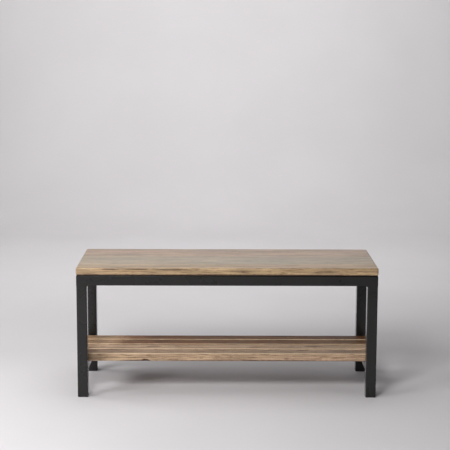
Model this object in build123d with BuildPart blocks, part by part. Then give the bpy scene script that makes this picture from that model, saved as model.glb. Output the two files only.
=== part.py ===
from build123d import *
import os

# Entryway bench: a solid wood seat and a slatted wood shelf on a welded square-tube frame.
# Millimetres. The origin is on the floor under the middle of the bench: +X runs along the
# bench, +Y to the back and +Z up.

# Frame, measured over the outer faces of the tubes
frame_length = 1098
frame_depth = 380
frame_height = 457

# Square tube of the legs and the top rails
tube_width = 38
tube_wall = 1.5
tube_corner_radius = 4

# Flat tube that joins the legs at each end and carries the shelf
stretcher_top = 121
stretcher_height = 25
stretcher_wall = 1.5
stretcher_corner_radius = 3

# Seat, a panel of boards glued edge to edge
seat_thickness = 28
seat_overhang = 1
seat_board_count = 5
seat_edge_radius = 3

# Shelf slats
slat_count = 4
slat_gap = 12
slat_thickness = 30
slat_end_setback = 5
slat_edge_radius = 3
shelf_leg_clearance = 20

# Steel tabs, welded inside the top rails, that the seat is screwed to
tab_length = 40
tab_reach = 28
tab_thickness = 3
tab_gap_under_seat = 4.5
tab_slot_length = 12
tab_slot_width = 5.5
tab_distance_from_end = 160

# Pan-head wood screws and washers
shank_diameter = 4.5
head_diameter = 8.5
head_height = 2.8
head_dome = 1.6
point_length = 4
recess_span = 4.6
recess_width = 1.1
recess_depth = 1.5
washer_diameter = 12
washer_hole_diameter = 5.2
washer_thickness = 1
seat_screw_cover = 6.5
shelf_screw_cover = 6.5
pilot_clearance = 0.05
pilot_depth_allowance = 1
screw_hole_diameter = 5
access_hole_diameter = 10

# Ribbed plastic glides, pressed into the open ends of the legs
glide_thickness = 3
glide_inset = 0.2
glide_edge_radius = 0.8
glide_stem_height = 16
glide_stem_clearance = 0.6
glide_stem_wall = 2.5
glide_rib_count = 3
glide_rib_height = 1.2
glide_rib_clearance = 0.05

# Welds
weld_size = 4
tab_weld_size = 3

# Places and sizes that follow from the ones above
half_length = frame_length / 2
half_depth = frame_depth / 2
leg_x = half_length - tube_width / 2
leg_y = half_depth - tube_width / 2
leg_inner_x = half_length - tube_width
leg_inner_y = half_depth - tube_width
rail_bottom = frame_height - tube_width
rail_middle = frame_height - tube_width / 2
tube_inside = tube_width - 2 * tube_wall
seat_length = frame_length + 2 * seat_overhang
seat_depth = frame_depth + 2 * seat_overhang
board_width = seat_depth / seat_board_count
shelf_depth = 2 * (leg_inner_y - shelf_leg_clearance)
slat_width = (shelf_depth - (slat_count - 1) * slat_gap) / slat_count
slat_pitch = slat_width + slat_gap
slat_length = frame_length - 2 * slat_end_setback
slat_centres = [(i - (slat_count - 1) / 2) * slat_pitch for i in range(slat_count)]
tab_top = frame_height - tab_gap_under_seat
tab_bottom = tab_top - tab_thickness
tab_centre_y = leg_inner_y - tab_reach / 2
tab_centres_x = (tab_distance_from_end - half_length, 0, half_length - tab_distance_from_end)
seat_screw_seat = tab_bottom - washer_thickness
seat_screw_length = frame_height + seat_thickness - seat_screw_cover - seat_screw_seat
shelf_screw_seat = stretcher_top - stretcher_wall
shelf_screw_length = stretcher_top + slat_thickness - shelf_screw_cover - shelf_screw_seat
seat_pilot_depth = seat_thickness - seat_screw_cover + pilot_depth_allowance
shelf_pilot_depth = slat_thickness - shelf_screw_cover + pilot_depth_allowance
pilot_radius = shank_diameter / 2 + pilot_clearance
tab_points = [(x, side * tab_centre_y) for side in (-1, 1) for x in tab_centres_x]

# The four corners of the frame, by name, with the signs of their X and Y
corners = {
    "front_left": (-1, -1),
    "front_right": (1, -1),
    "back_left": (-1, 1),
    "back_right": (1, 1),
}

# Planes of the 45 degree mitres. Each normal points to the front or back rail.
mitre_front_left = Plane((-half_length, -half_depth, 0), x_dir=(0, 0, 1), z_dir=(1, -1, 0))
mitre_front_right = Plane((half_length, -half_depth, 0), x_dir=(0, 0, 1), z_dir=(-1, -1, 0))
mitre_back_left = Plane((-half_length, half_depth, 0), x_dir=(0, 0, 1), z_dir=(1, 1, 0))


def save(piece, name):
    """Labels a finished piece and writes it as its own STEP file."""
    piece.label = name
    export_step(piece, f"parts/{name}.step")


def tube_profile(width, height, wall, corner_radius):
    """Draws a hollow rounded rectangle in the open sketch."""
    RectangleRounded(width, height, corner_radius)
    RectangleRounded(width - 2 * wall, height - 2 * wall, corner_radius - wall, mode=Mode.SUBTRACT)


def corner_fill_profile(radius):
    """Draws what is missing from a square corner that is rounded to a radius."""
    Rectangle(radius, radius, align=(Align.MIN, Align.MIN))
    with Locations((radius, radius)):
        Circle(radius, mode=Mode.SUBTRACT)


def wood_screw(length):
    """Pan-head screw, point up, with the underside of its head at height 0."""
    shank_radius = shank_diameter / 2
    head_radius = head_diameter / 2
    dome_start = (head_radius - head_dome, -head_height)
    dome_end = (head_radius, head_dome - head_height)
    with BuildPart() as screw:
        with BuildSketch(Plane.XZ):
            with BuildLine():
                Line((0, -head_height), dome_start)
                RadiusArc(dome_start, dome_end, -head_dome)
                Polyline(
                    dome_end,
                    (head_radius, 0),
                    (shank_radius, 0),
                    (shank_radius, length - point_length),
                    (0, length),
                    (0, -head_height),
                )
            make_face()
        revolve(axis=Axis.Z)
        with BuildSketch(Plane.XY.offset(-head_height)):
            Rectangle(recess_span, recess_width)
            Rectangle(recess_width, recess_span)
        extrude(amount=recess_depth, mode=Mode.SUBTRACT)
    return screw.part


os.makedirs("parts", exist_ok=True)

# Legs: straight tubes that stand on their glides and carry the corners of the top frame
leg_length = rail_bottom - glide_thickness
for corner, (side_x, side_y) in corners.items():
    with BuildPart() as leg:
        with BuildSketch(Plane((side_x * leg_x, side_y * leg_y, glide_thickness))):
            tube_profile(tube_width, tube_width, tube_wall, tube_corner_radius)
        extrude(amount=leg_length)
    save(leg.part, f"leg_{corner}")

# Top frame: four tubes mitred at the corners
with BuildPart() as rail_front:
    with BuildSketch(Plane((-half_length, -leg_y, rail_middle), x_dir=(0, 1, 0), z_dir=(1, 0, 0))):
        tube_profile(tube_width, tube_width, tube_wall, tube_corner_radius)
    extrude(amount=frame_length)
    split(bisect_by=mitre_front_left, keep=Keep.TOP)
    split(bisect_by=mitre_front_right, keep=Keep.TOP)
save(rail_front.part, "rail_front")

with BuildPart() as rail_back:
    mirror(rail_front.part, about=Plane.XZ)
save(rail_back.part, "rail_back")

with BuildPart() as rail_left:
    with BuildSketch(Plane((-leg_x, half_depth, rail_middle), x_dir=(1, 0, 0), z_dir=(0, -1, 0))):
        tube_profile(tube_width, tube_width, tube_wall, tube_corner_radius)
    extrude(amount=frame_depth)
    split(bisect_by=mitre_front_left, keep=Keep.BOTTOM)
    split(bisect_by=mitre_back_left, keep=Keep.BOTTOM)
save(rail_left.part, "rail_left")

with BuildPart() as rail_right:
    mirror(rail_left.part, about=Plane.YZ)
save(rail_right.part, "rail_right")

# Stretchers: flat tubes between the front and back legs. The lower wall has wide holes that
# let a screw and its driver in, and the upper wall has the holes that the heads bear on.
stretcher_middle = stretcher_top - stretcher_height / 2
stretcher_bottom = stretcher_top - stretcher_height
stretcher_length = 2 * leg_inner_y
with BuildPart() as stretcher_left:
    with BuildSketch(Plane((-leg_x, leg_inner_y, stretcher_middle), x_dir=(1, 0, 0), z_dir=(0, -1, 0))):
        tube_profile(tube_width, stretcher_height, stretcher_wall, stretcher_corner_radius)
    extrude(amount=stretcher_length)
    with BuildSketch(Plane((-leg_x, 0, stretcher_bottom))):
        with Locations(*[(0, y) for y in slat_centres]):
            Circle(access_hole_diameter / 2)
    extrude(amount=stretcher_wall, mode=Mode.SUBTRACT)
    with BuildSketch(Plane((-leg_x, 0, shelf_screw_seat))):
        with Locations(*[(0, y) for y in slat_centres]):
            Circle(screw_hole_diameter / 2)
    extrude(amount=stretcher_wall, mode=Mode.SUBTRACT)
save(stretcher_left.part, "stretcher_left")

with BuildPart() as stretcher_right:
    mirror(stretcher_left.part, about=Plane.YZ)
save(stretcher_right.part, "stretcher_right")

# Seat: one panel, drilled from below for its screws, then parted along the glue lines
with BuildPart() as seat_panel:
    with BuildSketch(Plane.XY.offset(frame_height)):
        Rectangle(seat_length, seat_depth)
    extrude(amount=seat_thickness)
    fillet(seat_panel.edges(), seat_edge_radius)
    with BuildSketch(Plane.XY.offset(frame_height)):
        with Locations(*tab_points):
            Circle(pilot_radius)
    extrude(amount=seat_pilot_depth, mode=Mode.SUBTRACT)

for number in range(1, seat_board_count + 1):
    board_y = (number - (seat_board_count + 1) / 2) * board_width
    with BuildPart() as board:
        add(seat_panel.part)
        with BuildSketch(Plane((0, board_y, frame_height))):
            Rectangle(seat_length, board_width)
        extrude(amount=seat_thickness, mode=Mode.INTERSECT)
    save(board.part, f"seat_board_{number}")

# Shelf: slats with eased edges, lying across the stretchers and screwed up from below
for number, slat_y in enumerate(slat_centres, start=1):
    with BuildPart() as slat:
        with BuildSketch(Plane((0, slat_y, stretcher_top))):
            Rectangle(slat_length, slat_width)
        extrude(amount=slat_thickness)
        fillet(slat.edges(), slat_edge_radius)
        with BuildSketch(Plane((0, slat_y, stretcher_top))):
            with Locations((-leg_x, 0), (leg_x, 0)):
                Circle(pilot_radius)
        extrude(amount=shelf_pilot_depth, mode=Mode.SUBTRACT)
    save(slat.part, f"shelf_slat_{number}")

# Fixing tabs: slotted across the seat's grain, so that the panel can swell and shrink
tab_places = [(row, place) for row in ("front", "back") for place in ("left", "middle", "right")]
for (row, place), (x, y) in zip(tab_places, tab_points):
    with BuildPart() as tab:
        with BuildSketch(Plane((x, y, tab_bottom))):
            Rectangle(tab_length, tab_reach)
            SlotOverall(tab_slot_length, tab_slot_width, rotation=90, mode=Mode.SUBTRACT)
        extrude(amount=tab_thickness)
    save(tab.part, f"fixing_tab_{row}_{place}")

# Screws and washers
with BuildPart() as seat_washers:
    with BuildSketch(Plane.XY.offset(seat_screw_seat)):
        with Locations(*tab_points):
            Circle(washer_diameter / 2)
            Circle(washer_hole_diameter / 2, mode=Mode.SUBTRACT)
    extrude(amount=washer_thickness)
save(seat_washers.part, "seat_washers")

seat_screw = wood_screw(seat_screw_length)
with BuildPart() as seat_screws:
    with Locations(*[(x, y, seat_screw_seat) for x, y in tab_points]):
        add(seat_screw)
save(seat_screws.part, "seat_screws")

shelf_screw = wood_screw(shelf_screw_length)
with BuildPart() as shelf_screws:
    with Locations(*[(side * leg_x, y, shelf_screw_seat) for side in (-1, 1) for y in slat_centres]):
        add(shelf_screw)
save(shelf_screws.part, "shelf_screws")

# Glides: a square foot under a hollow stem, with ribs that grip the inside of the leg
foot_width = tube_width - 2 * glide_inset
stem_width = tube_inside - 2 * glide_stem_clearance
stem_radius = tube_corner_radius - tube_wall
rib_width = tube_inside - 2 * glide_rib_clearance
rib_pitch = glide_stem_height / (glide_rib_count + 1)
for corner, (side_x, side_y) in corners.items():
    foot = Plane((side_x * leg_x, side_y * leg_y, 0))
    with BuildPart() as glide:
        with BuildSketch(foot):
            RectangleRounded(foot_width, foot_width, tube_corner_radius)
        extrude(amount=glide_thickness)
        fillet(glide.faces().sort_by(Axis.Z)[0].edges(), glide_edge_radius)
        with BuildSketch(foot.offset(glide_thickness)):
            RectangleRounded(stem_width, stem_width, stem_radius)
        extrude(amount=glide_stem_height)
        for rib in range(1, glide_rib_count + 1):
            with BuildSketch(foot.offset(glide_thickness + rib * rib_pitch)):
                RectangleRounded(rib_width, rib_width, stem_radius)
            extrude(amount=glide_rib_height)
        with BuildSketch(foot.offset(glide_thickness)):
            Rectangle(stem_width - 2 * glide_stem_wall, stem_width - 2 * glide_stem_wall)
        extrude(amount=glide_stem_height, mode=Mode.SUBTRACT)
    save(glide.part, f"glide_{corner}")

# Seam welds, ground flush: they fill the grooves that rounded tubes leave where their outer
# faces meet. The front left corner is drawn, then mirrored to the other three.
outer_corner = (-half_length, -half_depth, rail_bottom)
with BuildPart() as front_seam:
    with BuildSketch(Plane(outer_corner, x_dir=(0, 1, 0), z_dir=(1, 0, 0))):
        corner_fill_profile(tube_corner_radius)
    extrude(amount=tube_width)
    split(bisect_by=mitre_front_left, keep=Keep.TOP)

inner_corner = (-half_length, -leg_inner_y, rail_bottom)
with BuildPart() as side_seam:
    with BuildSketch(Plane(inner_corner, x_dir=(1, 0, 0), z_dir=(0, -1, 0))):
        corner_fill_profile(tube_corner_radius)
    extrude(amount=tube_width)
    split(bisect_by=mitre_front_left, keep=Keep.BOTTOM)

stretcher_seam_top = stretcher_top - stretcher_corner_radius
stretcher_seam_length = stretcher_height - 2 * stretcher_corner_radius
outer_top = (-half_length, -leg_inner_y, stretcher_seam_top)
inner_top = (-leg_inner_x, -leg_inner_y, stretcher_seam_top)
with BuildPart() as seam_welds:
    add(front_seam.part)
    add(side_seam.part)
    with BuildSketch(Plane(outer_top, x_dir=(1, 0, 0), z_dir=(0, 0, -1))):
        corner_fill_profile(tube_corner_radius)
    extrude(amount=stretcher_seam_length)
    with BuildSketch(Plane(inner_top, x_dir=(0, -1, 0), z_dir=(0, 0, -1))):
        corner_fill_profile(tube_corner_radius)
    extrude(amount=stretcher_seam_length)
    mirror(about=Plane.YZ)
    mirror(about=Plane.XZ)
save(seam_welds.part, "seam_welds")

# Fillet welds: beads in the inside corners. Each starts at a point on the joint, and lies
# along its joint for the flat part of the tube's face.
bead_length = tube_width - 2 * tube_corner_radius
bead_start_x = -half_length + tube_corner_radius
front_start = (-leg_inner_x, -half_depth + tube_corner_radius, rail_bottom)
side_start = (bead_start_x, -leg_inner_y, rail_bottom)
over_start = (bead_start_x, -leg_inner_y, stretcher_top)
under_start = (bead_start_x, -leg_inner_y, stretcher_bottom)
leg_to_front_rail = Plane(front_start, x_dir=(0, 0, -1), z_dir=(0, 1, 0))
leg_to_side_rail = Plane(side_start, x_dir=(0, 1, 0), z_dir=(1, 0, 0))
leg_to_stretcher_top = Plane(over_start, x_dir=(0, 1, 0), z_dir=(1, 0, 0))
leg_to_stretcher_bottom = Plane(under_start, x_dir=(0, 1, 0), z_dir=(1, 0, 0))
with BuildPart() as fillet_welds:
    with BuildSketch(leg_to_front_rail, leg_to_side_rail, leg_to_stretcher_bottom):
        Polygon((0, 0), (weld_size, 0), (0, -weld_size), align=None)
    extrude(amount=bead_length)
    with BuildSketch(leg_to_stretcher_top):
        Polygon((0, 0), (weld_size, 0), (0, weld_size), align=None)
    extrude(amount=bead_length)
    mirror(about=Plane.YZ)
    mirror(about=Plane.XZ)
save(fillet_welds.part, "fillet_welds")

# Tab welds: one bead under each tab, where it meets the inner face of its rail
tab_weld_length = tab_length - 2 * tab_weld_size
with BuildPart() as tab_welds:
    for x in tab_centres_x:
        start = (x - tab_weld_length / 2, -leg_inner_y, tab_bottom)
        with BuildSketch(Plane(start, x_dir=(0, 1, 0), z_dir=(1, 0, 0))):
            Polygon((0, 0), (tab_weld_size, 0), (0, -tab_weld_size), align=None)
        extrude(amount=tab_weld_length)
    mirror(about=Plane.XZ)
save(tab_welds.part, "tab_welds")
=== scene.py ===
# %% [markdown]
# # An entryway bench of brown wood and black steel
# The bench is a panel of glued boards on a welded frame of square tube, with a shelf of four
# slats near the floor. The measured model comes in as a fixed frame: every steel piece of it
# stays as it is and gets a finish, and the wooden pieces are made again here with hand-eased
# edges. All lengths are metres, +X runs along the bench, +Y to its back and +Z up.

# %% Load the measured model
import math

import bmesh
import bpy
from mathutils import Matrix, Quaternion, Vector, noise


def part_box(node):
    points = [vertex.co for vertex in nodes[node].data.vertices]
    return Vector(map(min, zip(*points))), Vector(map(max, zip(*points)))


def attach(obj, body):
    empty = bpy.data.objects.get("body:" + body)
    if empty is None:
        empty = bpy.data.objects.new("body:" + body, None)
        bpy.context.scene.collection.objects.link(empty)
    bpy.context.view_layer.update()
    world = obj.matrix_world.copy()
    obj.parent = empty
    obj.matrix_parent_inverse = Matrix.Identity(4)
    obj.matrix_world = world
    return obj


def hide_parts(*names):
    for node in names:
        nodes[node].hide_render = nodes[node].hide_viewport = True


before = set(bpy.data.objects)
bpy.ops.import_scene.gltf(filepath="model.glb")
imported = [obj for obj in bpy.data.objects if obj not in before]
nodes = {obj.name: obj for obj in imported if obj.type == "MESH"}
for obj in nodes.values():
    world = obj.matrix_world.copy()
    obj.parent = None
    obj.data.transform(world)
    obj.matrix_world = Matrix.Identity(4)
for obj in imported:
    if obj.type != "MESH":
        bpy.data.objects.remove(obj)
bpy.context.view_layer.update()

# %% [markdown]
# ## Small helpers
# Shader trees are easier to read when one line adds a node, sets its values and joins its
# inputs. `Tree` does that. An input may be a number, a colour or the output of another node.

# %% A helper for shader trees
class Tree:
    """Adds nodes to a shader tree and joins them."""

    def __init__(self, tree):
        self.tree = tree

    def put(self, socket, value):
        """Gives a socket a link, a vector, a colour or a number."""
        if isinstance(value, bpy.types.NodeSocket):
            self.tree.links.new(value, socket)
        elif socket.type == "RGBA" and len(value) == 3:
            socket.default_value = (*value, 1.0)
        else:
            socket.default_value = value

    def add(self, kind, inputs=None, **settings):
        """Adds one node. inputs maps a socket's name or number to what goes in."""
        node = self.tree.nodes.new("ShaderNode" + kind)
        for name, value in settings.items():
            setattr(node, name, value)
        for name, value in (inputs or {}).items():
            self.put(node.inputs[name], value)
        return node

    def math(self, operation, *values, clamp=False):
        """One Math node, and its output."""
        inputs = dict(enumerate(values))
        return self.add("Math", inputs, operation=operation, use_clamp=clamp).outputs[0]

    def vector_math(self, operation, first, second):
        """One Vector Math node, and its output."""
        return self.add("VectorMath", {0: first, 1: second}, operation=operation).outputs[0]

    def noise(self, vector, scale, detail=2.0, roughness=0.5, distortion=0.0):
        """The grey output of a Noise Texture, which lies round 0.5."""
        inputs = {
            "Vector": vector,
            "Scale": scale,
            "Detail": detail,
            "Roughness": roughness,
            "Distortion": distortion,
        }
        return self.add("TexNoise", inputs).outputs["Fac"]

    def spread(self, value, low, high, new_low=0.0, new_high=1.0):
        """Maps a range of values to another one, smoothly and without going past it."""
        inputs = {
            "Value": value,
            "From Min": low,
            "From Max": high,
            "To Min": new_low,
            "To Max": new_high,
        }
        node = self.add("MapRange", inputs, interpolation_type="SMOOTHSTEP")
        return node.outputs["Result"]

    def blend(self, factor, first, second, how="MIX"):
        """Mixes two colours."""
        node = self.add("Mix", data_type="RGBA", blend_type=how)
        self.put(node.inputs["Factor"], factor)
        self.put(node.inputs[6], first)
        self.put(node.inputs[7], second)
        return node.outputs[2]


print("shader tree helper ready")

# %% [markdown]
# A node group is a tree of its own, with named ways in and out, so that an effect can be built
# once and used in many materials. Each material ends in one Principled shader. Colours are
# easier to judge as three numbers up to 255, so those are turned into light values here.

# %% Helpers for groups, materials and colours
def new_group(name, inputs, outputs):
    """Starts a node group with named sockets. Returns it with its Tree, way in and way out."""
    group = bpy.data.node_groups.new(name, "ShaderNodeTree")
    for label, kind, default in inputs:
        socket = group.interface.new_socket(label, in_out="INPUT", socket_type="NodeSocket" + kind)
        if default is not None:
            socket.default_value = default
    for label, kind in outputs:
        group.interface.new_socket(label, in_out="OUTPUT", socket_type="NodeSocket" + kind)
    way_in = group.nodes.new("NodeGroupInput").outputs
    way_out = group.nodes.new("NodeGroupOutput").inputs
    return group, Tree(group), way_in, way_out


def use_group(tree, group, **inputs):
    """Places a group in a tree. Its sockets are named with underscores for spaces."""
    node = tree.add("Group", node_tree=group)
    for name, value in inputs.items():
        tree.put(node.inputs[name.replace("_", " ")], value)
    return node.outputs


def new_material(name):
    """An empty material. Returns it with its Tree and its Principled BSDF."""
    material = bpy.data.materials.new(name)
    material.use_nodes = True
    tree = Tree(material.node_tree)
    material.node_tree.nodes.clear()
    output = tree.add("OutputMaterial")
    shader = tree.add("BsdfPrincipled")
    tree.put(output.inputs["Surface"], shader.outputs["BSDF"])
    return material, tree, shader


def srgb(red, green, blue):
    """Turns a colour of 0 to 255, as a paint card gives it, into light values."""
    def channel(value):
        part = value / 255
        return part / 12.92 if part <= 0.04045 else ((part + 0.055) / 1.055) ** 2.4
    return channel(red), channel(green), channel(blue)


print("a middle grey of 128 is", round(srgb(128, 128, 128)[0], 3), "as light")

# %% [markdown]
# ## The wood's figure
# A board is a slice out of a tree, so its grain belongs to the solid and not to its skin. The
# groups below work in space: x runs along the trunk, and growth rings are shells round a
# heart line somewhere beside the board. Where a face cuts the shells at a slant it shows
# long arches, and where the saw crossed the trunk the same shells come out as arcs on the
# end grain. That is why one group can serve the face, the edge and the end of a board.

# %% Group: place a board in its own tree
def make_trunk_group():
    """Moves, bends and slightly twists space, so that each board comes from another spot."""
    group, tree, way_in, way_out = new_group(
        "place_in_trunk",
        [
            ("Place", "Vector", (0.0, 0.0, 0.0)),
            ("Wander", "Float", 0.006),
        ],
        [("Vector", "Vector")],
    )
    place = tree.add("TexCoord").outputs["Object"]
    moved = tree.vector_math("ADD", place, way_in["Place"])
    slow = tree.vector_math("MULTIPLY", moved, (1.6, 5.0, 5.0))
    drift = tree.add("TexNoise", {"Vector": slow, "Scale": 1.0, "Detail": 3.0, "Roughness": 0.45})
    centred = tree.vector_math("SUBTRACT", drift.outputs["Color"], (0.5, 0.5, 0.5))
    sideways = tree.vector_math("MULTIPLY", centred, (0.0, 1.0, 1.0))
    bend = tree.add("VectorMath", {0: sideways, "Scale": way_in["Wander"]}, operation="SCALE")
    tree.put(way_out["Vector"], tree.vector_math("ADD", moved, bend.outputs[0]))
    return group


trunk_group = make_trunk_group()
print("group:", trunk_group.name)

# %% [markdown]
# Growth rings fade in from light early wood and end in a thin dark line. No two rings are
# equally wide or dark, so a slow noise unsettles their spacing, and a second one their depth.

# %% Group: growth rings
def make_ring_group():
    """Growth rings round a heart line. Rings is dark at 1."""
    group, tree, way_in, way_out = new_group(
        "growth_rings",
        [
            ("Vector", "Vector", None),
            ("Heart Y", "Float", 0.0),
            ("Heart Z", "Float", -0.06),
            ("Ring Width", "Float", 0.006),
        ],
        [("Rings", "Float")],
    )
    axes = tree.add("SeparateXYZ", {0: way_in["Vector"]}).outputs
    across = tree.math("SUBTRACT", axes["Y"], way_in["Heart Y"])
    up = tree.math("SUBTRACT", axes["Z"], way_in["Heart Z"])
    squares = tree.math("ADD", tree.math("POWER", across, 2.0), tree.math("POWER", up, 2.0))
    distance = tree.math("SQRT", squares)
    taper = tree.math("MULTIPLY", axes["X"], 0.012)
    uneven = tree.noise(tree.vector_math("MULTIPLY", way_in["Vector"], (2.2, 34.0, 34.0)), 1.0, 2.0)
    shifted = tree.math("ADD", tree.math("ADD", distance, taper), tree.math("MULTIPLY", uneven, 0.009))
    count = tree.math("DIVIDE", shifted, way_in["Ring Width"])
    inside = tree.math("FRACT", count)
    rise = tree.math("POWER", inside, 2.6)
    fall = tree.spread(inside, 0.93, 1.0, 1.0, 0.0)
    depth = tree.noise(tree.vector_math("MULTIPLY", way_in["Vector"], (1.4, 60.0, 60.0)), 1.0, 1.0)
    strength = tree.spread(depth, 0.35, 0.68, 0.25, 1.0)
    tree.put(way_out["Rings"], tree.math("MULTIPLY", tree.math("MULTIPLY", rise, fall), strength))
    return group


ring_group = make_ring_group()
print("group:", ring_group.name)

# %% [markdown]
# Under the rings lies the fibre: hair-fine streaks along the board, and open pores that show
# as short dark dashes on a face and as pinpricks on an end. Both come from textures whose
# space is squeezed along the trunk. Broad stains, grey, olive or rosy, cross the rings,
# because this timber is full of mineral streaks.

# %% Group: fibres, pores and stains
def make_fibre_group():
    """Fine streaks, open pores and broad mineral stains of a coarse-grained timber."""
    group, tree, way_in, way_out = new_group(
        "fibres_pores_stains",
        [("Vector", "Vector", None), ("Pore Share", "Float", 0.4)],
        [
            ("Streaks", "Float"),
            ("Bands", "Float"),
            ("Dashes", "Float"),
            ("Pores", "Float"),
            ("Stains", "Float"),
            ("Blush", "Float"),
        ],
    )
    vector = way_in["Vector"]
    fine = tree.noise(tree.vector_math("MULTIPLY", vector, (9.0, 700.0, 700.0)), 1.0, 4.0, 0.62)
    broad = tree.noise(tree.vector_math("MULTIPLY", vector, (4.0, 130.0, 130.0)), 1.0, 3.0, 0.6)
    both = tree.math("ADD", tree.math("MULTIPLY", fine, 0.55), tree.math("MULTIPLY", broad, 0.45))
    tree.put(way_out["Streaks"], tree.spread(both, 0.32, 0.68))

    cells = tree.vector_math("MULTIPLY", vector, (150.0, 1250.0, 1250.0))
    pore = tree.add("TexVoronoi", {"Vector": cells, "Scale": 1.0, "Randomness": 1.0}, feature="F1")
    tint = tree.add("SeparateXYZ", {0: pore.outputs["Color"]}).outputs
    kept = tree.math("LESS_THAN", tint["X"], way_in["Pore Share"])
    hole = tree.spread(pore.outputs["Distance"], 0.16, 0.4, 1.0, 0.0)
    tree.put(way_out["Pores"], tree.math("MULTIPLY", hole, kept))

    stain = tree.noise(tree.vector_math("MULTIPLY", vector, (2.4, 24.0, 24.0)), 1.0, 3.0, 0.55, 0.4)
    tree.put(way_out["Stains"], tree.spread(stain, 0.42, 0.66))
    rosy = tree.noise(tree.vector_math("MULTIPLY", vector, (1.3, 11.0, 11.0)), 1.0, 2.0, 0.5)
    tree.put(way_out["Blush"], tree.spread(rosy, 0.38, 0.64))
    band = tree.noise(tree.vector_math("MULTIPLY", vector, (7.0, 95.0, 95.0)), 1.0, 3.0, 0.6, 0.3)
    tree.put(way_out["Bands"], tree.spread(band, 0.36, 0.64))
    dash = tree.noise(tree.vector_math("MULTIPLY", vector, (24.0, 250.0, 250.0)), 1.0, 2.0, 0.55)
    tree.put(way_out["Dashes"], tree.spread(dash, 0.53, 0.67))
    return group


fibre_group = make_fibre_group()
print("group:", fibre_group.name)

# %% [markdown]
# A knot is the stub of a branch. The rings part and flow round it, and its own wood is dark.
# The group below bends space away from the knot's middle, so the rings bend with it, and gives a mask
# for the colour. A long flat one makes a mineral streak or a bark pocket, and the same mask also lays
# painted shade along an edge and a painted pool of light at a slat's end.

# %% Group: a knot or a dark streak
def make_knot_group():
    """A mask round one spot, with a ragged outline, and space that bends away from it."""
    group, tree, way_in, way_out = new_group(
        "knot_or_streak",
        [
            ("Vector", "Vector", None),
            ("Centre", "Vector", (0.0, 0.0, 0.0)),
            ("Half Size", "Vector", (0.01, 0.01, 0.01)),
            ("Push", "Float", 0.004),
        ],
        [("Vector", "Vector"), ("Mask", "Float")],
    )
    place = tree.add("TexCoord").outputs["Object"]
    offset = tree.vector_math("SUBTRACT", place, way_in["Centre"])
    scaled = tree.vector_math("DIVIDE", offset, way_in["Half Size"])
    reach = tree.add("VectorMath", {0: scaled}, operation="LENGTH").outputs["Value"]
    ragged = tree.noise(tree.vector_math("MULTIPLY", place, (90.0, 420.0, 420.0)), 1.0, 3.0, 0.6)
    edge = tree.math("ADD", reach, tree.math("MULTIPLY", tree.math("SUBTRACT", ragged, 0.5), 0.9))
    tree.put(way_out["Mask"], tree.spread(edge, 0.55, 1.0, 1.0, 0.0))
    near = tree.spread(reach, 0.0, 2.4, 1.0, 0.0)
    away = tree.add("VectorMath", {0: scaled}, operation="NORMALIZE").outputs[0]
    amount = tree.math("MULTIPLY", near, way_in["Push"])
    push = tree.add("VectorMath", {0: away, "Scale": amount}, operation="SCALE").outputs[0]
    tree.put(way_out["Vector"], tree.vector_math("SUBTRACT", way_in["Vector"], push))
    return group


knot_group = make_knot_group()
print("group:", knot_group.name)

# %% [markdown]
# ## Wear, dust and coating texture
# Edges are where hands, shoes and polishing cloths rub. A Bevel node rounds the normal near a
# sharp edge, so the angle between it and the plain normal says how near the edge is. An edge
# that is already rounded in the mesh is found by its slanting normal instead. Broken up by a
# noise, that gives wear which comes and goes.

# %% Group: edge wear
def make_wear_group():
    """1 on rubbed edges, 0 on the flats."""
    group, tree, way_in, way_out = new_group(
        "edge_wear",
        [
            ("Reach", "Float", 0.002),
            ("Breakup Scale", "Float", 60.0),
            ("Evenness", "Float", 0.0),
            ("Eased Edges", "Float", 0.0),
        ],
        [("Mask", "Float")],
    )
    rounded = tree.add("Bevel", {"Radius": way_in["Reach"]}, samples=4).outputs["Normal"]
    true = tree.add("NewGeometry").outputs["Normal"]
    agreement = tree.add("VectorMath", {0: rounded, 1: true}, operation="DOT_PRODUCT").outputs["Value"]
    sharp = tree.spread(agreement, 0.8, 0.99, 1.0, 0.0)
    positive = tree.add("VectorMath", {0: true}, operation="ABSOLUTE").outputs[0]
    parts = tree.add("SeparateXYZ", {0: positive}).outputs
    largest = tree.math("MAXIMUM", parts["X"], tree.math("MAXIMUM", parts["Y"], parts["Z"]))
    slant = tree.spread(largest, 0.9, 0.995, 1.0, 0.0)
    eased = tree.math("MULTIPLY", slant, way_in["Eased Edges"])
    edge = tree.math("MAXIMUM", sharp, eased)
    place = tree.add("TexCoord").outputs["Object"]
    patches = tree.spread(tree.noise(place, way_in["Breakup Scale"], 3.0, 0.6), 0.42, 0.62)
    kept = tree.math("MAXIMUM", patches, way_in["Evenness"])
    tree.put(way_out["Mask"], tree.math("MULTIPLY", edge, kept))
    return group


wear_group = make_wear_group()
print("group:", wear_group.name)

# %% [markdown]
# Nothing in a room is evenly clean. Handling leaves broad, faint patches that change how
# sharp a reflection is, and dust settles on what faces up.

# %% Group: handling marks and dust
def make_handling_group():
    """Broad patches where hands and cloths passed, and a film of dust on upward faces."""
    group, tree, way_in, way_out = new_group(
        "handling_and_dust",
        [("Patch Scale", "Float", 9.0)],
        [("Patches", "Float"), ("Dust", "Float")],
    )
    place = tree.add("TexCoord").outputs["Object"]
    patches = tree.noise(place, way_in["Patch Scale"], 4.0, 0.55, 0.3)
    tree.put(way_out["Patches"], tree.spread(patches, 0.36, 0.66))
    up = tree.add("SeparateXYZ", {0: tree.add("NewGeometry").outputs["Normal"]}).outputs["Z"]
    specks = tree.noise(place, 900.0, 2.0, 0.7)
    film = tree.math("MULTIPLY", tree.spread(up, 0.6, 1.0), tree.spread(specks, 0.45, 0.7))
    tree.put(way_out["Dust"], film)
    return group


handling_group = make_handling_group()
print("group:", handling_group.name)

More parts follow.
